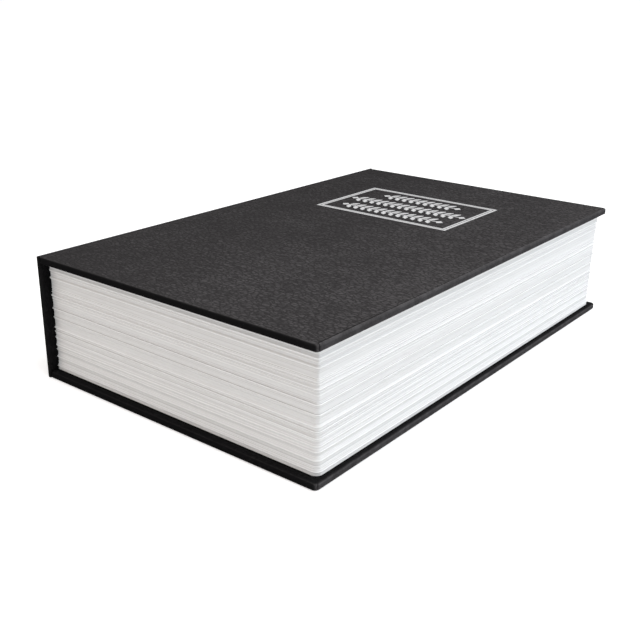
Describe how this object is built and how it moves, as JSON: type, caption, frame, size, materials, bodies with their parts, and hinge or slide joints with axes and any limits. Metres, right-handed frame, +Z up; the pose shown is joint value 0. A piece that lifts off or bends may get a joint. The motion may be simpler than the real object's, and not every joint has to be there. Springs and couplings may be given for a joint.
{
  "type": "book diversion safe",
  "caption": "Key-locked steel box hidden in a moulded block of pages and bound in a hard book case with an opening front cover.",
  "frame": {"origin": "middle of the back cover's outer face, on the surface that the closed book lies on", "axes": "+X from the spine to the fore-edge, +Y from the tail to the head, +Z up out of the front cover"},
  "size_m": [0.15, 0.24, 0.055],
  "materials": {
    "leatherette": "black grained covering paper with a soft sheen",
    "greyboard": "raw grey bookbinder's board",
    "lining_paper": "plain matt black paper",
    "white_plastic": "white moulded plastic ribbed like page edges",
    "black_steel": "black powder coat on sheet steel",
    "bright_steel": "zinc-plated steel",
    "chrome": "polished chrome plate",
    "brass": "plain brass"
  },
  "bodies": {
    "book": {"spine_board": "greyboard", "spine_wrap": "leatherette", "back_board": "greyboard", "back_wrap": "leatherette", "cover_crease": "leatherette", "page_frame": "white_plastic", "safe_body": "black_steel", "hinge_pin": "bright_steel", "floor_rivet_1": "bright_steel", "floor_rivet_2": "bright_steel", "floor_rivet_3": "bright_steel", "floor_rivet_4": "bright_steel"},
    "front_cover": {"front_board": "greyboard", "front_wrap": "leatherette", "front_lining": "lining_paper"},
    "lid": {"safe_lid": "black_steel", "lock_housing": "chrome", "lock_nut": "bright_steel"},
    "lock": {"lock_plug": "brass", "lock_cam": "bright_steel", "cam_washer": "bright_steel", "cam_screw": "bright_steel", "lock_wafer_1": "brass", "lock_wafer_2": "brass", "lock_wafer_3": "brass", "lock_wafer_4": "brass", "lock_wafer_5": "brass"}
  },
  "joints": [
    {"name": "cover_hinge", "type": "hinge", "parent": "book", "child": "front_cover", "pos_m": [-0.0723, 0, 0.05515], "axis": [0, -1, 0], "range_deg": [0, 180], "deforming": ["cover_crease"]},
    {"name": "lid_hinge", "type": "hinge", "parent": "book", "child": "lid", "pos_m": [-0.0628, 0, 0.0472], "axis": [0, -1, 0], "range_deg": [0, 97]},
    {"name": "lock_turn", "type": "hinge", "parent": "lid", "child": "lock", "pos_m": [0.0416, 0, 0.0493], "axis": [0, 0, 1], "range_deg": [0, 90]}
  ],
  "couplings": [
    {"joint": "lid_hinge", "follows": "cover_hinge", "ratio": 0.5388}
  ]
}
